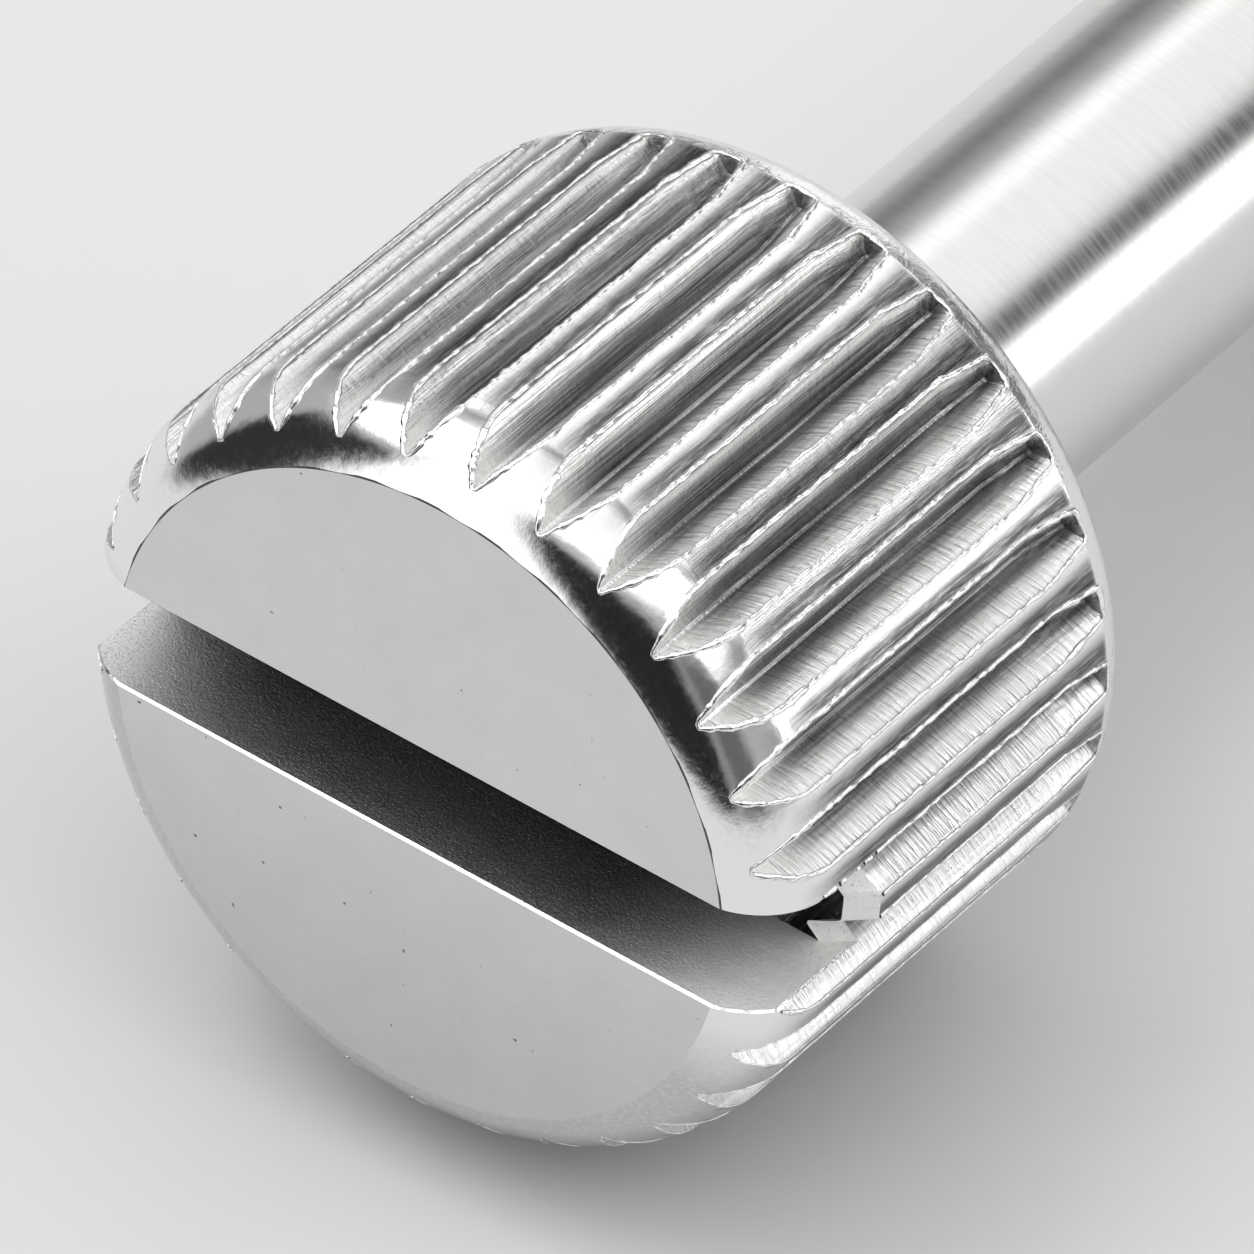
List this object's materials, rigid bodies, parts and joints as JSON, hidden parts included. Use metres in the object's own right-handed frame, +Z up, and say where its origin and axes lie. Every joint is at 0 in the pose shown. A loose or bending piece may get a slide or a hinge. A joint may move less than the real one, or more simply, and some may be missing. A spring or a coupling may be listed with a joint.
{
  "type": "thumb screw",
  "caption": "One-piece metal thumb screw: straight-knurled drum head with a driver slot, plain shank and a threaded end, lying on its head rim and tip.",
  "frame": {"origin": "on the surface that the screw lies on, under the middle of its bounding box", "axes": "+Z up; the slotted face looks toward -Y and the tip lies toward +Y, dipping to the surface; +X is to the right seen from the slotted face"},
  "size_m": [0.012, 0.0388, 0.0127],
  "materials": {
    "bright_metal": "bright nickel plate on turned steel: polished lands and shank, satin face, rougher milled slot and knurl walls"
  },
  "bodies": {
    "root": {"thumb_screw": "bright_metal"}
  },
  "joints": []
}
